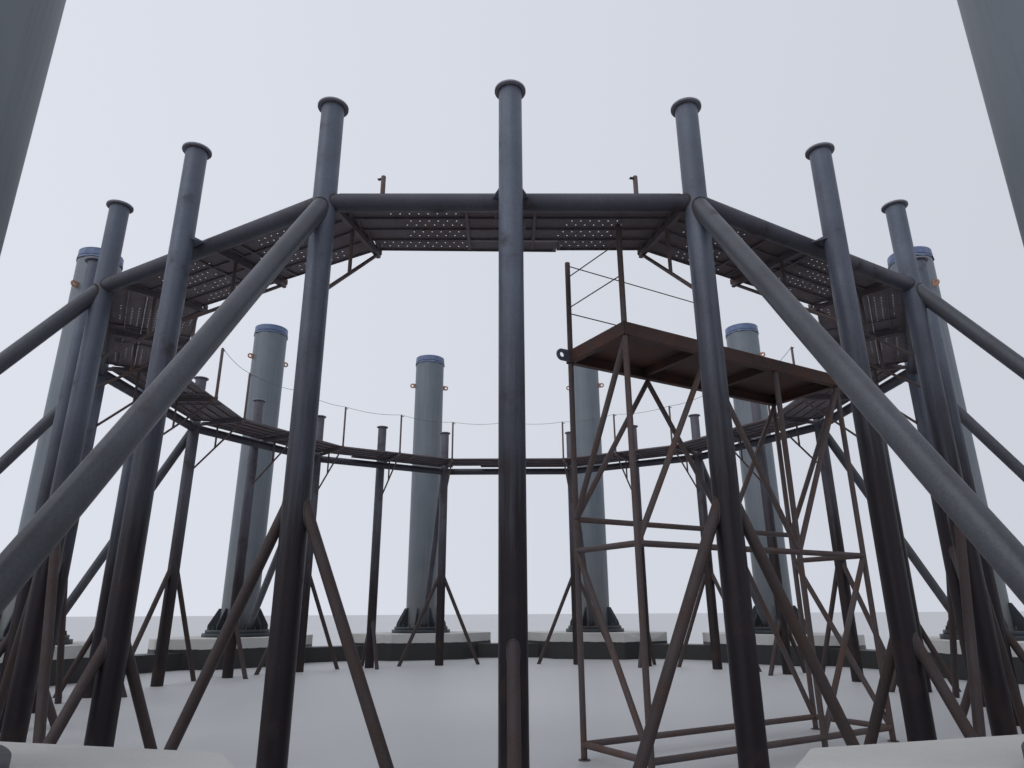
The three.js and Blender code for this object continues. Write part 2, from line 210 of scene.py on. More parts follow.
def steel_look(name, clean, stain, rust, rust_amount, roughness, low_rust=0.0, foot=None):
    """Mill-scaled or painted steel: cloudy, with stains that run down, and rustier towards the slab; a foot
    tone, where given, darkens the lower part, partly as rust and partly as painted shade.
    """
    look = Look(name)
    clouds = look.noise(1.3, 5, 0.6)
    runs = look.noise(3.0, 4, 0.6, (7, 7, 0.35))
    speckle = look.noise(60, 3, 0.7)
    tone = look.mix(look.spread(clouds, 0.35, 0.68), clean, stain)
    tone = look.mix(look.spread(runs, 0.45, 0.75, 0, 0.55), tone, stain)
    # Dark foot below a wavering line: partly rust, partly painted shade, which climbs higher on the +X side
    if foot:
        waver = look.spread(runs, 0.3, 0.7, -FOOT_RUST_AND_SHADE_WAVER, FOOT_RUST_AND_SHADE_WAVER)
        height = look.maths("ADD", look.part("Z"), waver)
        height = look.maths("SUBTRACT", height, look.spread(look.part("X"), *FOOT_RUST_AND_SHADE_CLIMB))
        tone = look.mix(look.spread(height, *FOOT_RUST_AND_SHADE_BAND), foot, tone)
    patches = look.maths("ADD", look.noise(2.6, 8, 0.65), look.maths("MULTIPLY", speckle, 0.22))
    if low_rust:
        lowness = look.spread(look.part("Z"), 0.0, 3.2, low_rust, 0.0)
        patches = look.maths("ADD", patches, lowness)
    share = look.spread(patches, 0.78 - rust_amount, 0.98 - rust_amount)
    colour = look.mix(share, tone, rust)
    grain = look.mix(look.spread(speckle, 0.3, 0.75), (0.72, 0.72, 0.72), (1.15, 1.12, 1.1))
    inputs = {0: 0.8, 6: colour, 7: grain}
    shade = look.add("ShaderNodeMix", inputs, data_type="RGBA", blend_type="MULTIPLY")
    worn = look.spread(share, 0, 1, roughness, 0.9)
    dull = look.maths("ADD", worn, look.spread(clouds, 0.3, 0.7, -0.06, 0.06))
    bumps = ((patches, 0.25, 0.004), (speckle, 0.25, 0.0012))
    return look.finish(shade.outputs[2], dull, bumps, metallic=0.1, Specular_IOR_Level=0.35)


def column_look():
    look = Look("column_primer")
    clouds = look.noise(0.8, 5, 0.6)
    runs = look.noise(2.2, 5, 0.6, (9, 9, 0.22))
    speckle = look.noise(45, 3, 0.6)
    tone = look.mix(look.spread(clouds, 0.3, 0.7), (0.118, 0.14, 0.165), (0.168, 0.186, 0.21))
    tone = look.mix(look.spread(runs, 0.5, 0.78, 0, 0.6), tone, (0.08, 0.092, 0.105))
    lowness = look.spread(look.part("Z"), 0.9, 3.4, 0.7, 0.0)
    dust = look.maths("MULTIPLY", lowness, look.spread(clouds, 0.2, 0.7))
    tone = look.mix(dust, tone, (0.17, 0.16, 0.14))
    chips = look.maths("ADD", look.noise(9, 8, 0.75), look.maths("MULTIPLY", speckle, 0.12))
    tone = look.mix(look.spread(chips, 0.77, 0.8, 0, 0.8), tone, (0.06, 0.035, 0.025))
    dull = look.spread(clouds, 0.3, 0.7, 0.42, 0.58)
    return look.finish(tone, dull, ((clouds, 0.15, 0.01), (speckle, 0.12, 0.0008)), metallic=0.05)


def concrete_look():
    """Cast concrete, with a bitumen coat on its sides below a wavering line."""
    look = Look("footing_concrete")
    clouds = look.noise(0.9, 6, 0.6)
    pores = look.noise(38, 6, 0.75)
    grit = look.noise(220, 2, 0.6)
    tone = look.mix(look.spread(clouds, 0.3, 0.72), (0.46, 0.455, 0.435), (0.6, 0.59, 0.565))
    tone = look.mix(look.spread(pores, 0.58, 0.72, 0, 0.45), tone, (0.2, 0.19, 0.175))
    line = look.maths("ADD", look.part("Z"), look.spread(look.noise(3.5, 5, 0.6), 0.3, 0.7, -0.012, 0.012))
    coat = look.spread(line, 0.505, 0.495)
    bitumen = look.mix(look.spread(pores, 0.35, 0.7), (0.014, 0.014, 0.015), (0.035, 0.034, 0.033))
    dull = look.spread(coat, 0, 1, 0.92, 0.5)
    bumps = ((pores, 0.5, 0.004), (grit, 0.3, 0.001))
    return look.finish(look.mix(coat, tone, bitumen), dull, bumps)


def cloth_look():
    """Woven plastic cover, with a fine crossed weave and pale creases."""
    look = Look("cover_cloth")
    clouds = look.noise(5, 5, 0.6)
    weave = [look.wave(look.scaled(factors), 130.0, 0.4) for factors in ((1, 1, 1), (1, -1, -1))]
    threads = look.maths("MULTIPLY", weave[0], weave[1])
    tone = look.mix(look.spread(clouds, 0.3, 0.7), (0.06, 0.095, 0.2), (0.125, 0.17, 0.29))
    tone = look.mix(look.spread(look.noise(16, 6, 0.7), 0.56, 0.75, 0, 0.5), tone, (0.25, 0.28, 0.38))
    bumps = ((clouds, 0.3, 0.01), (threads, 0.25, 0.0006))
    return look.finish(tone, look.spread(threads, 0, 1, 0.5, 0.62), bumps, Sheen_Weight=0.15)


def orange_look():
    look = Look("lug_paint")
    clouds = look.noise(14, 5, 0.65)
    chips = look.noise(55, 6, 0.7)
    tone = look.mix(look.spread(clouds, 0.3, 0.7), (0.34, 0.16, 0.1), (0.44, 0.22, 0.14))
    tone = look.mix(look.spread(chips, 0.63, 0.68, 0, 0.85), tone, (0.07, 0.035, 0.025))
    return look.finish(tone, look.spread(chips, 0.3, 0.7, 0.45, 0.7), ((chips, 0.2, 0.001),))


def wire_look():
    look = Look("guard_wire_strand")
    lay = look.wave(look.place, 90.0, 0.3)
    tone = look.mix(look.spread(look.noise(5, 5, 0.6), 0.4, 0.65), (0.17, 0.17, 0.175), (0.1, 0.06, 0.045))
    return look.finish(tone, look.spread(lay, 0, 1, 0.4, 0.6), ((lay, 0.5, 0.001),), metallic=0.7)


# The posts' light blue-grey upper tone is lifted partly as painted glare, and their nearly black foot tone
# is partly painted shade
MILL = steel_look(
    "mill_steel", (0.14, 0.162, 0.215), (0.1, 0.112, 0.148), (0.045, 0.03, 0.028), 0.07, 0.46, 0.1,
    foot=(0.015, 0.01, 0.014),
)
AGED_MILL = steel_look(
    "aged_mill_steel", (0.135, 0.133, 0.168), (0.1, 0.096, 0.12), (0.05, 0.032, 0.028), 0.1, 0.5, 0.1,
    foot=(0.018, 0.012, 0.014),
)
BEAM = steel_look("beam_steel", (0.08, 0.078, 0.102), (0.054, 0.052, 0.068), (0.048, 0.034, 0.033), 0.1, 0.5)
# The head plates are painted far lighter than the posts: painted glare that lifts their shaded undersides
HEAD_PAINTED_GLARE = steel_look("head_plate_painted_glare", (0.27, 0.27, 0.32), (0.22, 0.215, 0.26), (0.12, 0.1, 0.1), 0.05, 0.6)
RUSTY = steel_look("rusty_steel", (0.13, 0.1, 0.1), (0.09, 0.076, 0.079), (0.145, 0.09, 0.074), 0.2, 0.62)
STRUT = steel_look("strut_steel", (0.07, 0.052, 0.052), (0.05, 0.04, 0.042), (0.08, 0.052, 0.046), 0.2, 0.62)
DECK = steel_look(
    "plank_steel", (0.172, 0.148, 0.162), (0.132, 0.112, 0.126), (0.175, 0.12, 0.108), 0.12, 0.62
)
LANDING = steel_look(
    "landing_steel", (0.1, 0.056, 0.048), (0.06, 0.041, 0.04), (0.145, 0.066, 0.047), 0.18, 0.7
)
RAKER = steel_look(
    "raker_steel", (0.102, 0.107, 0.126), (0.07, 0.074, 0.088), (0.085, 0.056, 0.046), 0.07, 0.42, 0.08
)
WELD = steel_look("weld_steel", (0.08, 0.08, 0.088), (0.05, 0.05, 0.056), (0.1, 0.06, 0.04), 0.2, 0.5)
BASE = steel_look("base_steel", (0.055, 0.065, 0.075), (0.04, 0.046, 0.054), (0.06, 0.042, 0.036), 0.1, 0.5)
PRIMER = column_look()
CONCRETE = concrete_look()
CLOTH = cloth_look()
ORANGE = orange_look()
WIRE = wire_look()


# Shapes in mesh code
def across(direction):
    """Two unit vectors, square to a direction and to each other, in right-handed order."""
    axis = direction.normalized()
    helper = UP if abs(axis.z) < 0.9 else ALONG
    first = axis.cross(helper).normalized()
    return first, axis.cross(first)


def ring(centre, first, second, radius, sides):
    points = []
    for side in range(sides):
        angle = 2 * math.pi * side / sides
        points.append(centre + radius * (math.cos(angle) * first + math.sin(angle) * second))
    return points


def level_ring(centre, level, radius, sides):
    return ring(centre + UP * level, ALONG, INWARD, radius, sides)


def meets_pipe(point, direction, centre, radius):
    """Where a line first meets the wall of an upright pipe."""
    offset = (point - centre).to_2d()
    flat = direction.to_2d()
    square = flat.dot(flat)
    half = offset.dot(flat)
    rest = max(half * half - square * (offset.dot(offset) - radius * radius), 0)
    return point + direction * ((-half - math.sqrt(rest)) / square)


def meets_level(point, direction, level):
    return point + direction * ((level - point.z) / direction.z)


class Shape:
    """Points and faces of one piece. Each face has a material number and is smooth or flat."""

    def __init__(self):
        self.points = []
        self.faces = []
        self.numbers = []
        self.rounded = []

    def face(self, corners, number, smooth=False):
        self.faces.append(tuple(corners))
        self.numbers.append(number)
        self.rounded.append(smooth)

    def loft(self, rings, number=0, smooth=True, closed=False, ends=True):
        """A skin over rings of points, which run counter-clockwise about the way it goes."""
        first = len(self.points)
        sides = len(rings[0])
        for points in rings:
            self.points.extend(points)
        spans = len(rings) if closed else len(rings) - 1
        for span in range(spans):
            low = first + span * sides
            high = first + (span + 1) % len(rings) * sides
            for side in range(sides):
                after = (side + 1) % sides
                self.face((low + side, low + after, high + after, high + side), number, smooth)
        if ends and not closed:
            last = first + (len(rings) - 1) * sides
            self.face([first + side for side in reversed(range(sides))], number)
            self.face([last + side for side in range(sides)], number)

    def tube(self, start, end, radius, sides=24, number=0, end_level=None):
        """A straight pipe; its end can be cut along a level."""
        run = end - start
        direction = run.normalized()
        axes = across(run)
        margin = direction * min(SUPPORT, run.length / 4)
        centres = (start, start + margin, end - margin, end)
        rings = [ring(centre, *axes, radius, sides) for centre in centres]
        if end_level is not None:
            rings[-1] = [meets_level(point, direction, end_level) for point in rings[-1]]
        self.loft(rings, number)
        return rings

    def bead(self, loop, radius, number=1, sides=6):
        """A weld bead along a closed loop of points."""
        middle = sum(loop, Vector()) / len(loop)
        rings = []
        for index, point in enumerate(loop):
            along = (loop[(index + 1) % len(loop)] - loop[index - 1]).normalized()
            outward = (point - middle).normalized()
            side = along.cross(outward).normalized()
            rings.append(ring(point, side.cross(along), side, radius, sides)[::-1])
        self.loft(rings, number, closed=True)

    def rod(self, points, radius, number=0, sides=8, closed=False):
        """A bent rod through points."""
        rings = []
        count = len(points)
        normal = None
        for index, point in enumerate(points):
            before = points[index - 1] if closed or index else point
            after = points[(index + 1) % count] if closed or index < count - 1 else point
            along = (after - before).normalized()
            if normal is None:
                normal = across(along)[0]
            normal = (normal - along * normal.dot(along)).normalized()
            rings.append(ring(point, normal, along.cross(normal), radius, sides))
        self.loft(rings, number, closed=closed)

    def turned(self, profile, centre, sides, number=0, smooth=True):
        """A solid of revolution about an upright axis. The profile is (radius, level), upwards."""
        rings = [level_ring(centre, level, radius, sides) for radius, level in profile]
        self.loft(rings, number, smooth)

    def bar(self, start, end, width, height, number=0):
        """A rectangular bar; its width lies level and its height upwards."""
        run = (end - start).normalized()
        side = run.cross(UP).normalized()
        rise = side.cross(run)
        rings = [
            [centre + side * x * width / 2 + rise * y * height / 2 for x, y in SQUARE]
            for centre in (end, start)
        ]
        self.loft(rings, number, smooth=False)

    def prism(self, outline, depth, number=0):
        """A plate: its outline, counter-clockwise seen from the tip of depth, drawn out by depth."""
        self.loft([outline, [point + depth for point in outline]], number, smooth=False)

    def holed_plate(self, outline, hole, depth, number=0):
        """A plate with one hole; outline and hole have the same number of points."""
        first = len(self.points)
        count = len(outline)
        for points in (outline, hole):
            self.points.extend(points)
            self.points.extend(point + depth for point in points)
        outer, outer_top, inner, inner_top = (first + step * count for step in range(4))
        for side in range(count):
            after = (side + 1) % count
            self.face((outer_top + side, outer_top + after, inner_top + after, inner_top + side), number)
            self.face((outer + after, outer + side, inner + side, inner + after), number)
            self.face((outer + side, outer + after, outer_top + after, outer_top + side), number)
            self.face((inner + after, inner + side, inner_top + side, inner_top + after), number, True)

    def mesh(self, name, materials):
        mesh = bpy.data.meshes.new(name)
        mesh.from_pydata([tuple(point) for point in self.points], [], self.faces)
        for material in materials:
            mesh.materials.append(material)
        mesh.polygons.foreach_set("material_index", self.numbers)
        mesh.polygons.foreach_set("use_smooth", self.rounded)
        mesh.update()
        skin = bmesh.new()
        skin.from_mesh(mesh)
        bmesh.ops.recalc_face_normals(skin, faces=skin.faces)
        skin.to_mesh(mesh)
        skin.free()
        return mesh


EDGE_BEVEL = 0.003


def evened(radius, low, high):
    """Profile of an upright pipe, with a ring close to each end that keeps its shading even."""
    return [(radius, low), (radius, low + SUPPORT), (radius, high - SUPPORT), (radius, high)]


def chamfered(radius, low, high, lip):
    """Profile of a round plate whose two edges are cut off."""
    return [(radius - lip, low), (radius, low + lip), (radius, high - lip), (radius - lip, high)]


def added(name, data):
    thing = bpy.data.objects.new(name, data)
    bpy.context.scene.collection.objects.link(thing)
    return thing


def wear_edges(piece, width, segments, degrees):
    """Rounds the edges that turn by more than some degrees."""
    edges = piece.modifiers.new("edges", "BEVEL")
    edges.width = width
    edges.segments = segments
    edges.limit_method = "ANGLE"
    edges.angle_limit = math.radians(degrees)


def place(mesh, name, slot, nodes=(), turn=None, bevel=0.0):
    """One piece of the scene, on the body it rides and instead of the nodes it stands for."""
    piece = added(name, mesh)
    if turn is not None:
        piece.matrix_world = turn
    if bevel:
        wear_edges(piece, bevel, 2, 50)
    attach(piece, "root")
    if nodes:
        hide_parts(*nodes)
    return piece


# Posts, each with its struts, its walkway bracket and its stanchion
# Numbers in the posts' list of materials
BRACE, HEAD_PLATE, FOOT_STRUT, WALK_ARM = range(2, 6)
POST_CENTRE = at(0, RING, 0)
HEAD_LIP = 0.003
SEAT = {"below": 0.004, "stand": 0.003}
ARM_IN_POST = 0.01
ARM_CAP = 0.006
STANCHION_EDGE = {"height": 0.006, "inset": 0.004}
CUFF = {"stand": 0.008, "height": 0.06}
TOP_PLATE = {"below": 0.035, "reach": 0.075, "width": 0.045, "thickness": 0.008}
HOOK = {"radius": 0.014, "rod": 0.004, "steps": 8}
GUSSET = {"beam": 0.215, "post": 0.12, "thickness": 0.016, "overlap": 0.3}


def add_post(shape):
    head = POST_TOP - HEAD_THICKNESS
    shape.turned(evened(POST_RADIUS, 0.0, head), POST_CENTRE, 48)
    shape.turned(chamfered(HEAD_RADIUS, head, POST_TOP, HEAD_LIP), POST_CENTRE, 64, HEAD_PLATE)
    seat = level_ring(POST_CENTRE, head - SEAT["below"], POST_RADIUS + SEAT["stand"], 48)
    shape.bead(seat, BEADS["pipe"])


def add_foot_struts(shape, station):
    raked = is_raked(station)
    strut = RAKED_STRUT if raked else PLAIN_STRUT
    top = at(0, RING, strut["level"])
    for side in (-1, 1):
        spread = side * strut["foot"]
        foot = at(spread, RING, 0) if raked else at(0, RING + spread, 0)
        rings = shape.tube(top, foot, STRUT_RADIUS, 28, FOOT_STRUT, end_level=0.0)
        run = (foot - top).normalized()
        shape.bead([meets_outward(point, run) for point in rings[0]], BEADS["pipe"])


def meets_outward(point, run):
    """Where a pipe that starts inside the post comes out through its wall."""
    return meets_pipe(point + run * 3, -run, POST_CENTRE, POST_RADIUS)


def add_bracket(shape, station):
    tip = stanchion_row(station)
    level = DECK_BOTTOM - CLEARANCE - ARM / 2
    end = at(0, tip, level)
    shape.bar(end, at(0, RING - POST_RADIUS + ARM_IN_POST, level), ARM, ARM, WALK_ARM)
    knee_end = at(0, tip + ARM, level - ARM / 4)
    knee_start = at(0, RING, KNEE_LEVEL)
    run = (knee_end - knee_start).normalized()
    rings = shape.tube(knee_start, knee_end, KNEE_RADIUS, 16, BRACE)
    shape.bead([meets_outward(point, run) for point in rings[0]], BEADS["knee"])
    middle = (RING + tip + ARM) / 2
    middle_level = (KNEE_LEVEL + level) / 2
    shape.tube(at(0, middle, middle_level), at(0, middle, level - ARM / 4), KNEE_RADIUS, 16, BRACE)
    shape.bar(at(0, tip - ARM_CAP, level), end, ARM, ARM + ARM_CAP, BRACE)
    add_stanchion(shape, at(0, tip, 0), level + ARM / 2, stanchion_radius(station))


def add_stanchion(shape, foot, level, radius):
    """A tube on the arm, with a cuff at its foot, and a small plate and a wire hook at its top."""
    shape.turned([
        (radius, level),
        (radius, STANCHION_TOP - STANCHION_EDGE["height"]),
        (radius - STANCHION_EDGE["inset"], STANCHION_TOP),
    ], foot, 20, BRACE)
    cuff = radius + CUFF["stand"]
    shape.turned([(cuff, level), (cuff, level + CUFF["height"])], foot, 20, BRACE)
    near = foot + UP * (STANCHION_TOP - TOP_PLATE["below"])
    far = near - ALONG * TOP_PLATE["reach"]
    shape.bar(near, far, TOP_PLATE["width"], TOP_PLATE["thickness"], BRACE)
    circle = ring(foot + UP * STANCHION_TOP, ALONG, UP, HOOK["radius"], 2 * HOOK["steps"])
    shape.rod(circle[:HOOK["steps"] + 1], HOOK["rod"], BRACE)


def add_gusset(shape):
    """The plate between a plain post and the ring beam behind it."""
    beam_side = BEAM_APOTHEM + BEAM_RADIUS * GUSSET["overlap"]
    low = BEAM_LEVEL - GUSSET["thickness"] / 2
    outline = [
        at(-GUSSET["beam"], beam_side, low),
        at(-GUSSET["post"], RING, low),
        at(GUSSET["post"], RING, low),
        at(GUSSET["beam"], beam_side, low),
    ]
    shape.prism(outline, UP * GUSSET["thickness"])


def post_mesh(station):
    shape = Shape()
    add_post(shape)
    add_foot_struts(shape, station)
    add_bracket(shape, station)
    if not is_raked(station):
        add_gusset(shape)
    skin = AGED_MILL if station in RUSTIER else MILL
    return shape.mesh(f"{kind(station)}_post", [skin, WELD, RUSTY, HEAD_PAINTED_GLARE, STRUT, DECK])


post_meshes = {}
for station in range(STATIONS):
    sort = (kind(station), stanchion_radius(station), station in RUSTIER)
    if sort not in post_meshes:
        post_meshes[sort] = post_mesh(station)
    node = f"{kind(station)}_post_{station // 2 + 1:02d}"
    place(post_meshes[sort], f"{node}_steel", "mill_steel", [node], station_turn(station), EDGE_BEVEL)


# Ring beam, twelve pipes welded between the raked posts
def beam_mesh():
    shape = Shape()
    for side in range(CORNERS):
        first, last = (station_turn(2 * side + step) @ at(0, RING, BEAM_LEVEL) for step in (-1, 1))
        direction = (last - first).normalized()
        section = ring((first + last) / 2, *across(direction), BEAM_RADIUS, 48)
        ends = [
            [meets_pipe(point, way, post, POST_RADIUS) for point in section]
            for way, post in ((-direction, first), (direction, last))
        ]
        margin = direction * SUPPORT
        near = [point + margin for point in ends[0]]
        far = [point - margin for point in ends[1]]
        shape.loft([ends[0], near, far, ends[1]])
        for loop in ends:
            shape.bead(loop, BEADS["pipe"])
    return shape.mesh("ring_beam_pipes", [BEAM, WELD])


place(beam_mesh(), "ring_beam_pipes", "mill_steel", ["ring_beam"])


# Walkway: rows of steel planks along each side of the ring, counted from the inside
PLANK = {"width": 0.2285, "pitch": 0.23, "depth": 0.025, "sheet": 0.002, "wall": 0.003, "lip": 0.01}
HOLES = {"radius": 0.0082, "pitch": 0.102, "rows": (-0.042, 0.042), "cell": 0.042}
ROWS = 5
DECK_LENGTHS = 4
BETWEEN_POSTS = 1.78
MITRE_GAP = 0.03
END_STRIP = {"inset": 0.03, "rise": 0.008, "width": 0.03, "height": 0.01}
BATTENS = {"places": (-0.48, 0.27), "width": 0.035, "height": 0.01, "inset": 0.02}
BEARER = {"width": 0.05, "height": 0.025, "inset": 0.05}
JOINT = 0.0006
SPLITS = {"front": (-0.2, 0.2), "other": (-0.25, 0.25)}
SHORTEST = {"plank": 0.1, "sheet": 0.001}
WINDOW = {"start": (0.12, 0.5), "length": (0.5, 0.95), "margin": 0.12}
FRONT_HOLES = (
    ((-1.53, -0.52), (0.61, 1.16)),
    ((-1.15, -0.56), (0.56, 1.22)),
    ((-1.16, -0.57), (0.64, 1.3)),
    ((-1.31, -0.6), None),
)
LONG_PLANK = {"end": 0.56, "turn": 0.0185}
OPEN_STRETCHES = {6: (0.81, 1.65), 7: (0.98, BETWEEN_POSTS)}
COVER_PLATE = {
    "inner": (5.955, -1.795, -1.59), "outer": (6.95, -1.88, -1.7), "thickness": 0.004, "lift": 0.0005,
}
draws = random.Random(24)


def holed_strip(shape, start, across_at, count):
    """A strip of sheet with pressed holes, one cell for each hole along +X."""
    half = HOLES["cell"] / 2
    sides = 8
    for index in range(count):
        x = start + (index + 0.5) * HOLES["pitch"]
        centre = Vector((x, across_at, DECK_TOP - PLANK["sheet"]))
        outer = []
        inner = []
        for side in range(sides):
            way = heading(2 * math.pi * side / sides)
            x = HOLES["pitch"] / 2 * max(-1, min(1, round(way.x * 1.5)))
            y = half * max(-1, min(1, round(way.y * 1.5)))
            outer.append(centre + Vector((x, y, 0)))
            inner.append(centre + way * HOLES["radius"])
        shape.holed_plate(outer, inner, UP * PLANK["sheet"])


def add_sheet(shape, low, high, middle, width):
    """A plain stretch of a plank's top."""
    if min(high - low, width) > SHORTEST["sheet"]:
        level = DECK_TOP - PLANK["sheet"] / 2
        shape.bar(Vector((low, middle, level)), Vector((high, middle, level)), width, PLANK["sheet"])


def add_plank(shape, start, end, middle, window):
    """One plank; a window is the places of its first and last hole, and the rest is plain."""
    width = PLANK["width"]
    pitch = HOLES["pitch"]
    count = round((window[1] - window[0]) / pitch) + 1 if window else 0
    first = window[0] - pitch / 2 if window else end
    last = first + count * pitch
    add_sheet(shape, start, first, middle, width)
    add_sheet(shape, last, end, middle, width)
    if count:
        edges = [-width / 2]
        for index, row in enumerate(HOLES["rows"]):
            edges.extend((row - HOLES["cell"] / 2, row + HOLES["cell"] / 2))
            fewer = 1 - index
            stagger = pitch / 2 * fewer
            holed_strip(shape, first + stagger, middle + row, count - fewer)
            add_sheet(shape, first, first + stagger, middle + row, HOLES["cell"])
            add_sheet(shape, last - stagger, last, middle + row, HOLES["cell"])
        edges.append(width / 2)
        for low, high in zip(edges[::2], edges[1::2]):
            add_sheet(shape, first, last, middle + (low + high) / 2, high - low)
    add_plank_edges(shape, start, end, middle)


def add_plank_edges(shape, start, end, middle):
    """The folded walls and lips along a plank, and the strips across its ends."""
    width = PLANK["width"]
    foot = DECK_TOP - PLANK["depth"]
    for side in (-1, 1):
        wall = middle + side * (width - PLANK["wall"]) / 2
        level = DECK_TOP - PLANK["depth"] / 2
        shape.bar(Vector((start, wall, level)), Vector((end, wall, level)), PLANK["wall"], PLANK["depth"])
        lip = middle + side * (width - PLANK["lip"]) / 2
        shape.bar(Vector((start, lip, foot)), Vector((end, lip, foot)), PLANK["lip"], PLANK["wall"])
    level = foot + END_STRIP["rise"]
    for x in (start + END_STRIP["inset"], end - END_STRIP["inset"]):
        near = Vector((x, middle - width / 2, level))
        far = Vector((x, middle + width / 2, level))
        shape.bar(near, far, END_STRIP["width"], END_STRIP["height"])


def row_planks(side, row, half):
    """Ends and holed windows of the planks of one row."""
    if side == 0 and row < len(FRONT_HOLES):
        split = LONG_PLANK["end"] if row == 0 else draws.uniform(*SPLITS["front"])
        runs = ((-half, split - JOINT), (split + JOINT, half))
        return list(zip(runs, FRONT_HOLES[row]))
    if row == ROWS - 1 and side in OPEN_STRETCHES:
        low, high = OPEN_STRETCHES[side]
        runs = [(-half, low), (high, half)]
    else:
        split = draws.uniform(*SPLITS["other"])
        runs = [(-half, split - JOINT), (split + JOINT, half)]
    planks = []
    for start, end in runs:
        if end - start > SHORTEST["plank"]:
            first = start + draws.uniform(*WINDOW["start"])
            last = min(first + draws.uniform(*WINDOW["length"]), end - WINDOW["margin"])
            planks.append(((start, end), (first, last)))
    return planks


def add_side(shape, side):
    """The planks of one side of the ring, in that side's own frame."""
    for row in range(ROWS):
        apothem = DECK_INNER + PLANK["width"] / 2 + row * PLANK["pitch"]
        half = min(apothem * math.tan(math.pi / CORNERS) - MITRE_GAP, BETWEEN_POSTS)
        for (start, end), window in row_planks(side, row, half):
            first = len(shape.points)
            add_plank(shape, start, end, -apothem, window)
            if side == 0 and row == 0 and start < 0:
                turn_plank(shape, first, Vector((start, -apothem, 0)), LONG_PLANK["turn"])
    foot = DECK_TOP - PLANK["depth"]
    outer = DECK_INNER + DECK_WIDTH - BEARER["inset"]
    for x in BATTENS["places"]:
        near = at(x, DECK_INNER + BATTENS["inset"], foot)
        shape.bar(near, at(x, outer, foot), BATTENS["width"], BATTENS["height"])
    for station in (-1, 0):
        level = foot - BEARER["height"] / 2
        inner = deck_edge(station, DECK_INNER)
        turn = station_turn(station)
        ends = (turn @ at(0, inner, level), turn @ at(0, deck_edge(station, outer), level))
        shape.bar(*ends, BEARER["width"], BEARER["height"])


def turn_plank(shape, first, pivot, angle):
    """Turns the points added since first about an upright line."""
    turn = Matrix.Rotation(angle, 4, "Z")
    shape.points[first:] = [pivot + turn @ (point - pivot) for point in shape.points[first:]]


def add_corner_cover(shape):
    """A plain plate over the gap where a side's planks meet those of the side before it."""
    level = DECK_TOP + COVER_PLATE["lift"]
    inner, inner_low, inner_high = COVER_PLATE["inner"]
    outer, outer_low, outer_high = COVER_PLATE["outer"]
    outline = [
        at(outer_low, outer, level),
        at(outer_high, outer, level),
        at(inner_high, inner, level),
        at(inner_low, inner, level),
    ]
    shape.prism(outline, UP * COVER_PLATE["thickness"])


def deck_mesh(index):
    shape = Shape()
    sides_each = CORNERS // DECK_LENGTHS
    for side in range(index * sides_each, (index + 1) * sides_each):
        first = len(shape.points)
        add_side(shape, side)
        add_corner_cover(shape)
        turn = station_turn(2 * side)
        shape.points[first:] = [turn @ point for point in shape.points[first:]]
    return shape.mesh(f"walkway_planks_{index + 1}", [DECK])


for index in range(DECK_LENGTHS):
    place(deck_mesh(index), f"walkway_planks_{index + 1}", "deck_planks", [f"walkway_deck_{index + 1}"])


# Guard wire, held in the hooks on the stanchions
def wire_points():
    steps = 8
    first, last = WIRE_STATIONS
    points = []
    for step in range((last - first) * steps + 1):
        station = first + step // steps
        share = step % steps / steps
        ends = [station_turn(near) @ at(0, stanchion_row(near), 0) for near in (station, station + 1)]
        sag = 4 * WIRE_SAG * share * (1 - share)
        level = STANCHION_TOP + WIRE_RADIUS + WIRE_LIFT - sag
        points.append(ends[0].lerp(ends[1], share) + UP * level)
    return points


wire = Shape()
wire.rod(wire_points(), WIRE_RADIUS, sides=10)
place(wire.mesh("guard_wire_strand", [WIRE]), "guard_wire_strand", "wire", ["guard_wire"])


# Rakers, from the posts down to the column bases
def raker_mesh():
    shape = Shape()
    head = at(0, RING, RAKER_HEAD)
    foot = at(0, RAKER_FOOT, PLATE_TOP)
    run = (foot - head).normalized()
    section = ring(head, *across(run), RAKER_RADIUS, 48)
    top = [meets_outward(point, run) for point in section]
    bottom = [meets_level(point, run, PLATE_TOP + CLEARANCE) for point in section]
    below_top = [point + run * SUPPORT for point in top]
    above_bottom = [point - run * SUPPORT for point in bottom]
    shape.loft([top, below_top, above_bottom, bottom])
    shape.bead(top, BEADS["raker"])
    shape.bead([point + UP * BEADS["raker"] / 2 for point in bottom], BEADS["raker"])
    return shape.mesh("raker_pipe", [RAKER, WELD])


# Leg columns with their bases, lifting lugs and covers
# Numbers in the columns' list of materials
SHAFT, BASE_STEEL, BOLT_STEEL, LUG_PAINT = range(4)
COLUMN_CENTRE = at(0, COLUMN_CIRCLE, 0)
SHAFT_SEAT = {"bury": 0.001, "bead": 0.004}
PLATE_LIP = 0.006
GUSSETS = {"count": 8, "height": 0.575, "reach": 0.82, "thickness": 0.03, "edge": 0.12, "bury": 0.01}
BOLT = {"circle": 0.79, "spread": 9, "chamfer": 0.003}
WASHER = {"radius": 0.038, "top": 0.006}
NUT = {"radius": 0.03, "top": 0.034}
STUD = {"radius": 0.017, "start": 0.03, "top": 0.088}
ROPE = {"radius": 0.005, "stand": 0.011}
LUG = {"below": 1.07, "outer": 0.082, "hole": 0.04, "thickness": 0.03, "stand": 0.15, "bury": 0.04}
COVER = {"depth": 0.255, "tie": 0.19, "radius": 0.512, "flat": 1.5, "lift": 0.006, "clear": 0.0035}
COVER_SHARES = (0.02, 0.2, 0.4, 0.6, 0.78, 0.9, 0.97)
SKIRT_DEPTHS = (0.0, 0.012, 0.04, 0.08, 0.12, 0.155, 0.18, 0.19, 0.2, 0.22, 0.24, 0.255)
SLACK = {"sag": 0.03, "ripple": 0.006}
SKIRT = {"flare": 0.016, "gather": 0.016, "swing": 0.003, "hem_swing": 0.011, "hem": 0.016}
FOLDS = (((5, 9), 0.5), ((13, 19), 0.3), ((27, 35), 0.2))


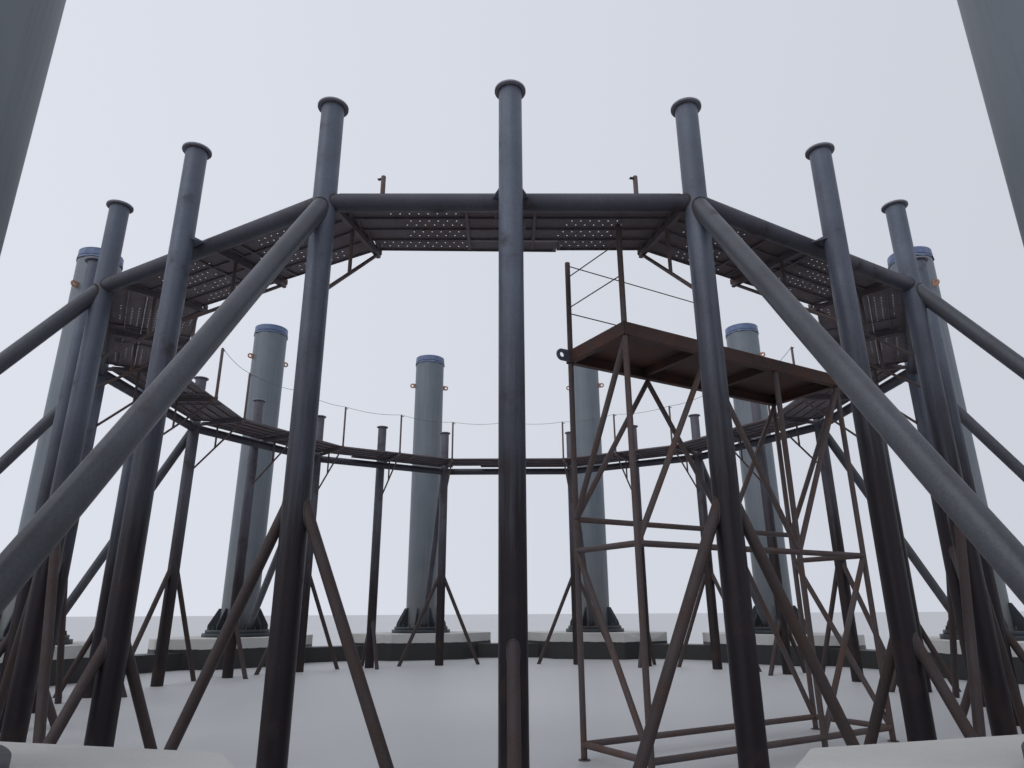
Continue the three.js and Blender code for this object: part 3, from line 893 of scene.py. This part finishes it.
def add_shaft(shape):
    low = PLATE_TOP - SHAFT_SEAT["bury"]
    shape.turned(evened(COLUMN_RADIUS, low, COLUMN_TOP), COLUMN_CENTRE, 96)
    out = SHAFT_SEAT["bead"]
    foot = level_ring(COLUMN_CENTRE, PLATE_TOP + out, COLUMN_RADIUS + out, 64)
    shape.bead(foot, BEADS["column"], SHAFT)


def add_round_plates(shape):
    level = COLUMN_SEAT
    for plate in (ANCHOR_PLATE, BASE_PLATE):
        top = level + plate["thickness"]
        shape.turned(chamfered(plate["radius"], level, top, PLATE_LIP), COLUMN_CENTRE, 96, BASE_STEEL)
        level = top


def add_gussets(shape):
    root = COLUMN_RADIUS - GUSSETS["bury"]
    low = PLATE_TOP
    high = PLATE_TOP + GUSSETS["height"]
    reach = GUSSETS["reach"]
    profile = [
        (root, low),
        (reach, low),
        (reach, low + GUSSETS["edge"]),
        (COLUMN_RADIUS + GUSSETS["edge"] / 2, high),
        (root, high),
    ]
    for index in range(GUSSETS["count"]):
        outward = heading(2 * math.pi * (index + 0.5) / GUSSETS["count"])
        side = UP.cross(outward) * GUSSETS["thickness"]
        outline = [COLUMN_CENTRE + outward * x + UP * z + side / 2 for x, z in profile]
        shape.prism(outline, -side, BASE_STEEL)


def add_anchor_bolts(shape):
    """Pairs of studs, each with its washer and nut, between the stiffeners."""
    washer_top, nut_top, stud_top = (PLATE_TOP + part["top"] for part in (WASHER, NUT, STUD))
    washer = [(WASHER["radius"], PLATE_TOP), (WASHER["radius"], washer_top)]
    nut = chamfered(NUT["radius"], washer_top, nut_top, BOLT["chamfer"])
    stud = [
        (STUD["radius"], PLATE_TOP + STUD["start"]),
        (STUD["radius"], stud_top - BOLT["chamfer"]),
        (STUD["radius"] - BOLT["chamfer"], stud_top),
    ]
    for index in range(GUSSETS["count"]):
        for sign in (-1, 1):
            turn = math.radians(360 * index / GUSSETS["count"] + sign * BOLT["spread"])
            foot = COLUMN_CENTRE + heading(turn) * BOLT["circle"]
            shape.turned(washer, foot, 20, BOLT_STEEL)
            shape.turned(nut, foot, 6, BOLT_STEEL, smooth=False)
            shape.turned(stud, foot, 16, BOLT_STEEL)


def add_eye(shape, eye, root, outward, number):
    """An upright plate with a round end and a hole, standing out from its root."""
    centre = root + outward * eye["stand"]
    outline = []
    hole = []
    sides = 40
    for side in range(sides):
        angle = 2 * math.pi * (side + 0.5) / sides
        way = outward * math.cos(angle) + UP * math.sin(angle)
        reach = eye["outer"]
        if math.cos(angle) < 0:
            square = eye["outer"] / max(abs(math.sin(angle)), 1e-6)
            reach = min(square, eye["stand"] / -math.cos(angle))
        outline.append(centre + way * reach)
        hole.append(centre + way * eye["hole"])
    depth = outward.cross(UP) * eye["thickness"]
    back = [[point - depth / 2 for point in loop] for loop in (outline, hole)]
    shape.holed_plate(*back, depth, number)


def add_lugs(shape):
    level = COLUMN_TOP - LUG["below"]
    for sign in (-1, 1):
        outward = ALONG * sign
        root = COLUMN_CENTRE + outward * (COLUMN_RADIUS - LUG["bury"]) + UP * level
        add_eye(shape, LUG, root, outward, LUG_PAINT)


def column_mesh():
    shape = Shape()
    add_round_plates(shape)
    add_shaft(shape)
    add_gussets(shape)
    add_anchor_bolts(shape)
    add_lugs(shape)
    return shape.mesh("leg_column", [PRIMER, BASE, WELD, ORANGE])


def cover_mesh(name, seed):
    """A cloth tied over a column's end: a slack top, a gathered skirt and a wavy hem."""
    dice = random.Random(seed)
    waves = [(dice.randint(*counts), dice.uniform(0, 7), size) for counts, size in FOLDS]

    def fold(angle):
        return sum(size * math.sin(count * angle + phase) for count, phase, size in waves)

    sides = 128
    angles = [2 * math.pi * side / sides for side in range(sides)]
    rings = []
    for share in COVER_SHARES:
        loop = []
        for angle in angles:
            crease = math.sin(7 * share + waves[0][1]) * math.cos(3 * angle + waves[1][1])
            crease += fold(angle) * share * share
            slack = SLACK["ripple"] * crease - SLACK["sag"] * (1 - share * share)
            loop.append((COVER["radius"] * share, angle, COLUMN_TOP + 0.008 + slack * (1 - share ** 6)))
        rings.append(loop)
    for depth in SKIRT_DEPTHS:
        down = depth / COVER["depth"]
        gather = math.exp(-((depth - COVER["tie"]) / SKIRT["gather"]) ** 2)
        reach = COVER["radius"] + 0.004 + SKIRT["flare"] * down ** 2 * (1 - gather)
        swing = (SKIRT["swing"] + SKIRT["hem_swing"] * down) * (1 - 0.75 * gather) * min(1, depth / 0.03)
        hem = SKIRT["hem"] * max(0, depth - COVER["tie"]) / (COVER["depth"] - COVER["tie"])
        loop = []
        for angle in angles:
            radius = max(reach + swing * fold(angle), COLUMN_RADIUS + COVER["clear"])
            loop.append((radius, angle, COLUMN_TOP + COVER["lift"] - depth + hem * fold(angle + 0.4)))
        rings.append(loop)
    shape = Shape()
    points = [
        [COLUMN_CENTRE + Vector((r * math.cos(a), r * math.sin(a), z)) for r, a, z in loop]
        for loop in rings
    ]
    shape.loft(points[::-1], ends=False)
    shape.face([len(shape.points) - sides + side for side in range(sides)], 0, True)
    return shape.mesh(name, [CLOTH])


def tie_mesh():
    """The rope round a cover."""
    shape = Shape()
    level = COLUMN_TOP + COVER["lift"] - COVER["tie"]
    loop = level_ring(COLUMN_CENTRE, level, COVER["radius"] + ROPE["stand"], 72)
    shape.rod(loop, ROPE["radius"], closed=True)
    return shape.mesh("cover_tie", [WELD])


raker = raker_mesh()
column = column_mesh()
tie = tie_mesh()
for corner in range(CORNERS):
    number = f"{corner + 1:02d}"
    turn = station_turn(2 * corner + 1)
    place(raker, f"raker_{number}_pipe", "mill_steel", [f"raker_{number}"], turn)
    place(column, f"leg_column_{number}_shaft", "column_paint", [f"leg_column_{number}"], turn, EDGE_BEVEL)
    cloth = cover_mesh(f"column_cover_{number}", corner)
    cover = place(cloth, cloth.name, "column_paint", (), turn)
    rope = place(tie, f"cover_tie_{number}", "wire", (), turn)


# Landing on its braced tower
LANDING_STATION = 2
EDGE = {"height": 0.15, "width": 0.075, "web": 0.0065, "flange": 0.01}
LANDING_BOX = {"start": -2.265, "length": 3.6, "inner": 5.245, "outer": 6.315, "top": 4.315}
LANDING_EYE = 1
LANDING_PLATE = {"thickness": 0.008, "lift": 0.0005, "inset": 0.006, "gap": 0.008, "lengths": 3}
JOISTS = {"count": 2, "height": 0.1, "width": 0.06, "inset": 0.01}
FOOT_PLATE = ((0.06, 0.0), (0.06, 0.008))
PAD_EYE = {"outer": 0.072, "hole": 0.03, "thickness": 0.02, "stand": 0.15}
TUBE_RADIUS = 0.03175
LEG_SHARES = (0, 2 / 3, 1)
LEG_GAP = 0.001
OUTER_RAILS = (0.14, 2.015)
INNER_RAILS = (0.14, 2.35)
GUARD_POST_TOP = 5.49
GUARD_RAIL = {"radius": 0.007, "inner": (4.81, 5.45), "end": (4.88, 5.29)}
OUTER_ROW = LANDING_BOX["outer"] - EDGE["width"] / 2
INNER_ROW = LANDING_BOX["inner"] + EDGE["width"] / 2
ROW_START = LANDING_BOX["start"] + EDGE["width"] / 2
ROW_LENGTH = LANDING_BOX["length"] - EDGE["width"]
LEGS = [ROW_START + ROW_LENGTH * share for share in LEG_SHARES]
FIRST_LEG, MIDDLE_LEG, LAST_LEG = LEGS
PEAK = (FIRST_LEG + MIDDLE_LEG) / 2
LANDING_BOTTOM = LANDING_BOX["top"] - EDGE["height"]
BRACE_TOP = LANDING_BOTTOM - TUBE_RADIUS


def add_channel(shape, start, end, inwards):
    """A rolled channel on edge, with its flanges pointing inwards."""
    flange = inwards * EDGE["width"]
    web = inwards * EDGE["web"]
    rise = UP * EDGE["height"]
    lip = UP * EDGE["flange"]
    outline = [Vector(), flange, flange + lip, web + lip, web + rise - lip, flange + rise - lip,
               flange + rise, rise]
    rings = [[centre + point for point in outline] for centre in (start, end)]
    if inwards.cross(UP).dot(end - start) < 0:
        rings.reverse()
    shape.loft(rings, 0, smooth=False)


def landing_mesh():
    shape = Shape()
    start = LANDING_BOX["start"]
    end = start + LANDING_BOX["length"]
    inner, outer = LANDING_BOX["inner"], LANDING_BOX["outer"]
    low = LANDING_BOTTOM
    add_channel(shape, at(start, outer, low), at(end, outer, low), INWARD)
    add_channel(shape, at(start, inner, low), at(end, inner, low), -INWARD)
    add_channel(shape, at(start, outer, low), at(start, inner, low), ALONG)
    add_channel(shape, at(end, outer, low), at(end, inner, low), -ALONG)
    thickness = LANDING_PLATE["thickness"]
    top = LANDING_BOX["top"] - thickness / 2 + LANDING_PLATE["lift"]
    middle = (inner + outer) / 2
    width = outer - inner - 2 * LANDING_PLATE["inset"]
    lengths = LANDING_PLATE["lengths"]
    for index in range(lengths):
        low_x = start + LANDING_PLATE["inset"] + index * LANDING_BOX["length"] / lengths
        high_x = low_x + LANDING_BOX["length"] / lengths - LANDING_PLATE["gap"]
        shape.bar(at(low_x, middle, top), at(high_x, middle, top), width, thickness)
    joist_level = LANDING_BOX["top"] - thickness - JOISTS["height"] / 2
    for index in range(1, JOISTS["count"] + 1):
        x = start + LANDING_BOX["length"] * index / (JOISTS["count"] + 1)
        near = at(x, outer - JOISTS["inset"], joist_level)
        far = at(x, inner + JOISTS["inset"], joist_level)
        shape.bar(far, near, JOISTS["width"], JOISTS["height"])
    eye_level = low + EDGE["height"] / 2
    add_eye(shape, PAD_EYE, at(ROW_START, inner + EDGE["width"], eye_level), -ALONG, LANDING_EYE)
    return shape.mesh("landing_plate", [LANDING, MILL])


def add_row(shape, row, rails, tops, lower_diagonal):
    middle_rail = rails[1]
    for along, top in zip(LEGS, tops):
        shape.tube(at(along, row, 0), at(along, row, top), TUBE_RADIUS)
        shape.turned(FOOT_PLATE, at(along, row, 0), 24)
    for level in rails:
        shape.tube(at(FIRST_LEG, row, level), at(LAST_LEG, row, level), TUBE_RADIUS, 20)
    diagonals = [
        (at(PEAK, row, BRACE_TOP), at(FIRST_LEG, row, middle_rail)),
        (at(PEAK, row, BRACE_TOP), at(MIDDLE_LEG, row, middle_rail)),
        (at(LAST_LEG, row, BRACE_TOP), at(MIDDLE_LEG, row, middle_rail)),
        lower_diagonal,
    ]
    for start, end in diagonals:
        shape.tube(start, end, TUBE_RADIUS, 20)


def inner_frame_mesh():
    shape = Shape()
    tops = (GUARD_POST_TOP, GUARD_POST_TOP, LANDING_BOTTOM)
    lower = (at(MIDDLE_LEG, INNER_ROW, INNER_RAILS[1]), at(LAST_LEG, INNER_ROW, INNER_RAILS[0]))
    add_row(shape, INNER_ROW, INNER_RAILS, tops, lower)
    for level in GUARD_RAIL["inner"]:
        start = at(FIRST_LEG, INNER_ROW, level)
        shape.tube(start, at(MIDDLE_LEG, INNER_ROW, level), GUARD_RAIL["radius"], 12)
    return shape.mesh("landing_inner_frame", [RUSTY, WELD])


def outer_frame_mesh():
    shape = Shape()
    tops = (DECK_BOTTOM - LEG_GAP, LANDING_BOTTOM, LANDING_BOTTOM)
    lower = (at(LAST_LEG, OUTER_ROW, OUTER_RAILS[1]), at(MIDDLE_LEG, OUTER_ROW, OUTER_RAILS[0]))
    add_row(shape, OUTER_ROW, OUTER_RAILS, tops, lower)
    for along in (FIRST_LEG, LAST_LEG):
        foot, middle = OUTER_RAILS
        runs = [
            (at(along, OUTER_ROW, foot), at(along, INNER_ROW, foot)),
            (at(along, OUTER_ROW, middle), at(along, INNER_ROW, middle)),
            (at(along, OUTER_ROW, BRACE_TOP), at(along, INNER_ROW, INNER_RAILS[1])),
            (at(along, INNER_ROW, middle), at(along, OUTER_ROW, foot)),
        ]
        for start, end in runs:
            shape.tube(start, end, TUBE_RADIUS, 20)
    for level in GUARD_RAIL["end"]:
        start = at(FIRST_LEG, OUTER_ROW, level)
        shape.tube(start, at(FIRST_LEG, INNER_ROW, level), GUARD_RAIL["radius"], 12)
    return shape.mesh("landing_outer_frame", [RUSTY, WELD])


landing_turn = station_turn(LANDING_STATION)
for mesh, slot, node, bevel in (
    (landing_mesh(), "landing_steel", "landing_platform", 0.002),
    (outer_frame_mesh(), "rusty_steel", "landing_tower_outer_frame", 0),
    (inner_frame_mesh(), "rusty_steel", "landing_tower_inner_frame", 0),
):
    place(mesh, mesh.name, slot, [node], landing_turn, bevel)


# Foundation: the carried-over solid with worn edges
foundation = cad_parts["foundation"]
foundation.data.materials.clear()
foundation.data.materials.append(CONCRETE)
weld = foundation.modifiers.new("weld", "WELD")
weld.merge_threshold = 0.0001
wear_edges(foundation, 0.018, 3, 30)


# Floor, light and camera
def stage_look():
    look = Look("stage_floor")
    clouds = look.noise(0.15, 4, 0.5)
    tone = look.mix(look.spread(clouds, 0.3, 0.7), (0.48, 0.48, 0.485), (0.52, 0.52, 0.525))
    return look.finish(tone, 0.55)


FLOOR_REACH = 400
floor = Shape()
floor.points = [Vector((x, y, 0)) * FLOOR_REACH for x, y in SQUARE]
floor.face((0, 1, 2, 3), 0)
floor_piece = added("stage_floor", floor.mesh("stage_floor", [stage_look()]))

world = bpy.data.worlds.new("overcast")
bpy.context.scene.world = world
sky = Nodes(world, "Background", "ShaderNodeTexCoord", "Generated")
tint = sky.mix(sky.spread(sky.part("X"), -0.7, 0.7), (0.74, 0.77, 0.85), (0.6, 0.63, 0.7))
sky.feed(sky.shader.inputs["Color"], tint)

lamp = bpy.data.lights.new("soft_key", "SUN")
lamp.energy = 0.8
lamp.angle = math.radians(60)
key = added("soft_key", lamp)
key.rotation_euler = (math.radians(35), math.radians(-38), 0)

CAMERA = {"place": (-0.054, -13.276, 1.396), "lens": 24.117, "sensor": 36.0}
CAMERA_TURN = {"yaw": 0.55, "pitch": 18.36, "roll": 0.32}
view = bpy.data.cameras.new("camera")
view.lens = CAMERA["lens"]
view.sensor_width = CAMERA["sensor"]
view.clip_end = 1000
camera = added("camera", view)
camera.matrix_world = (
    Matrix.Translation(CAMERA["place"])
    @ Matrix.Rotation(-math.radians(CAMERA_TURN["yaw"]), 4, "Z")
    @ Matrix.Rotation(math.radians(90 + CAMERA_TURN["pitch"]), 4, "X")
    @ Matrix.Rotation(-math.radians(CAMERA_TURN["roll"]), 4, "Z")
)
bpy.context.scene.camera = camera
bpy.context.scene.view_settings.view_transform = "Standard"
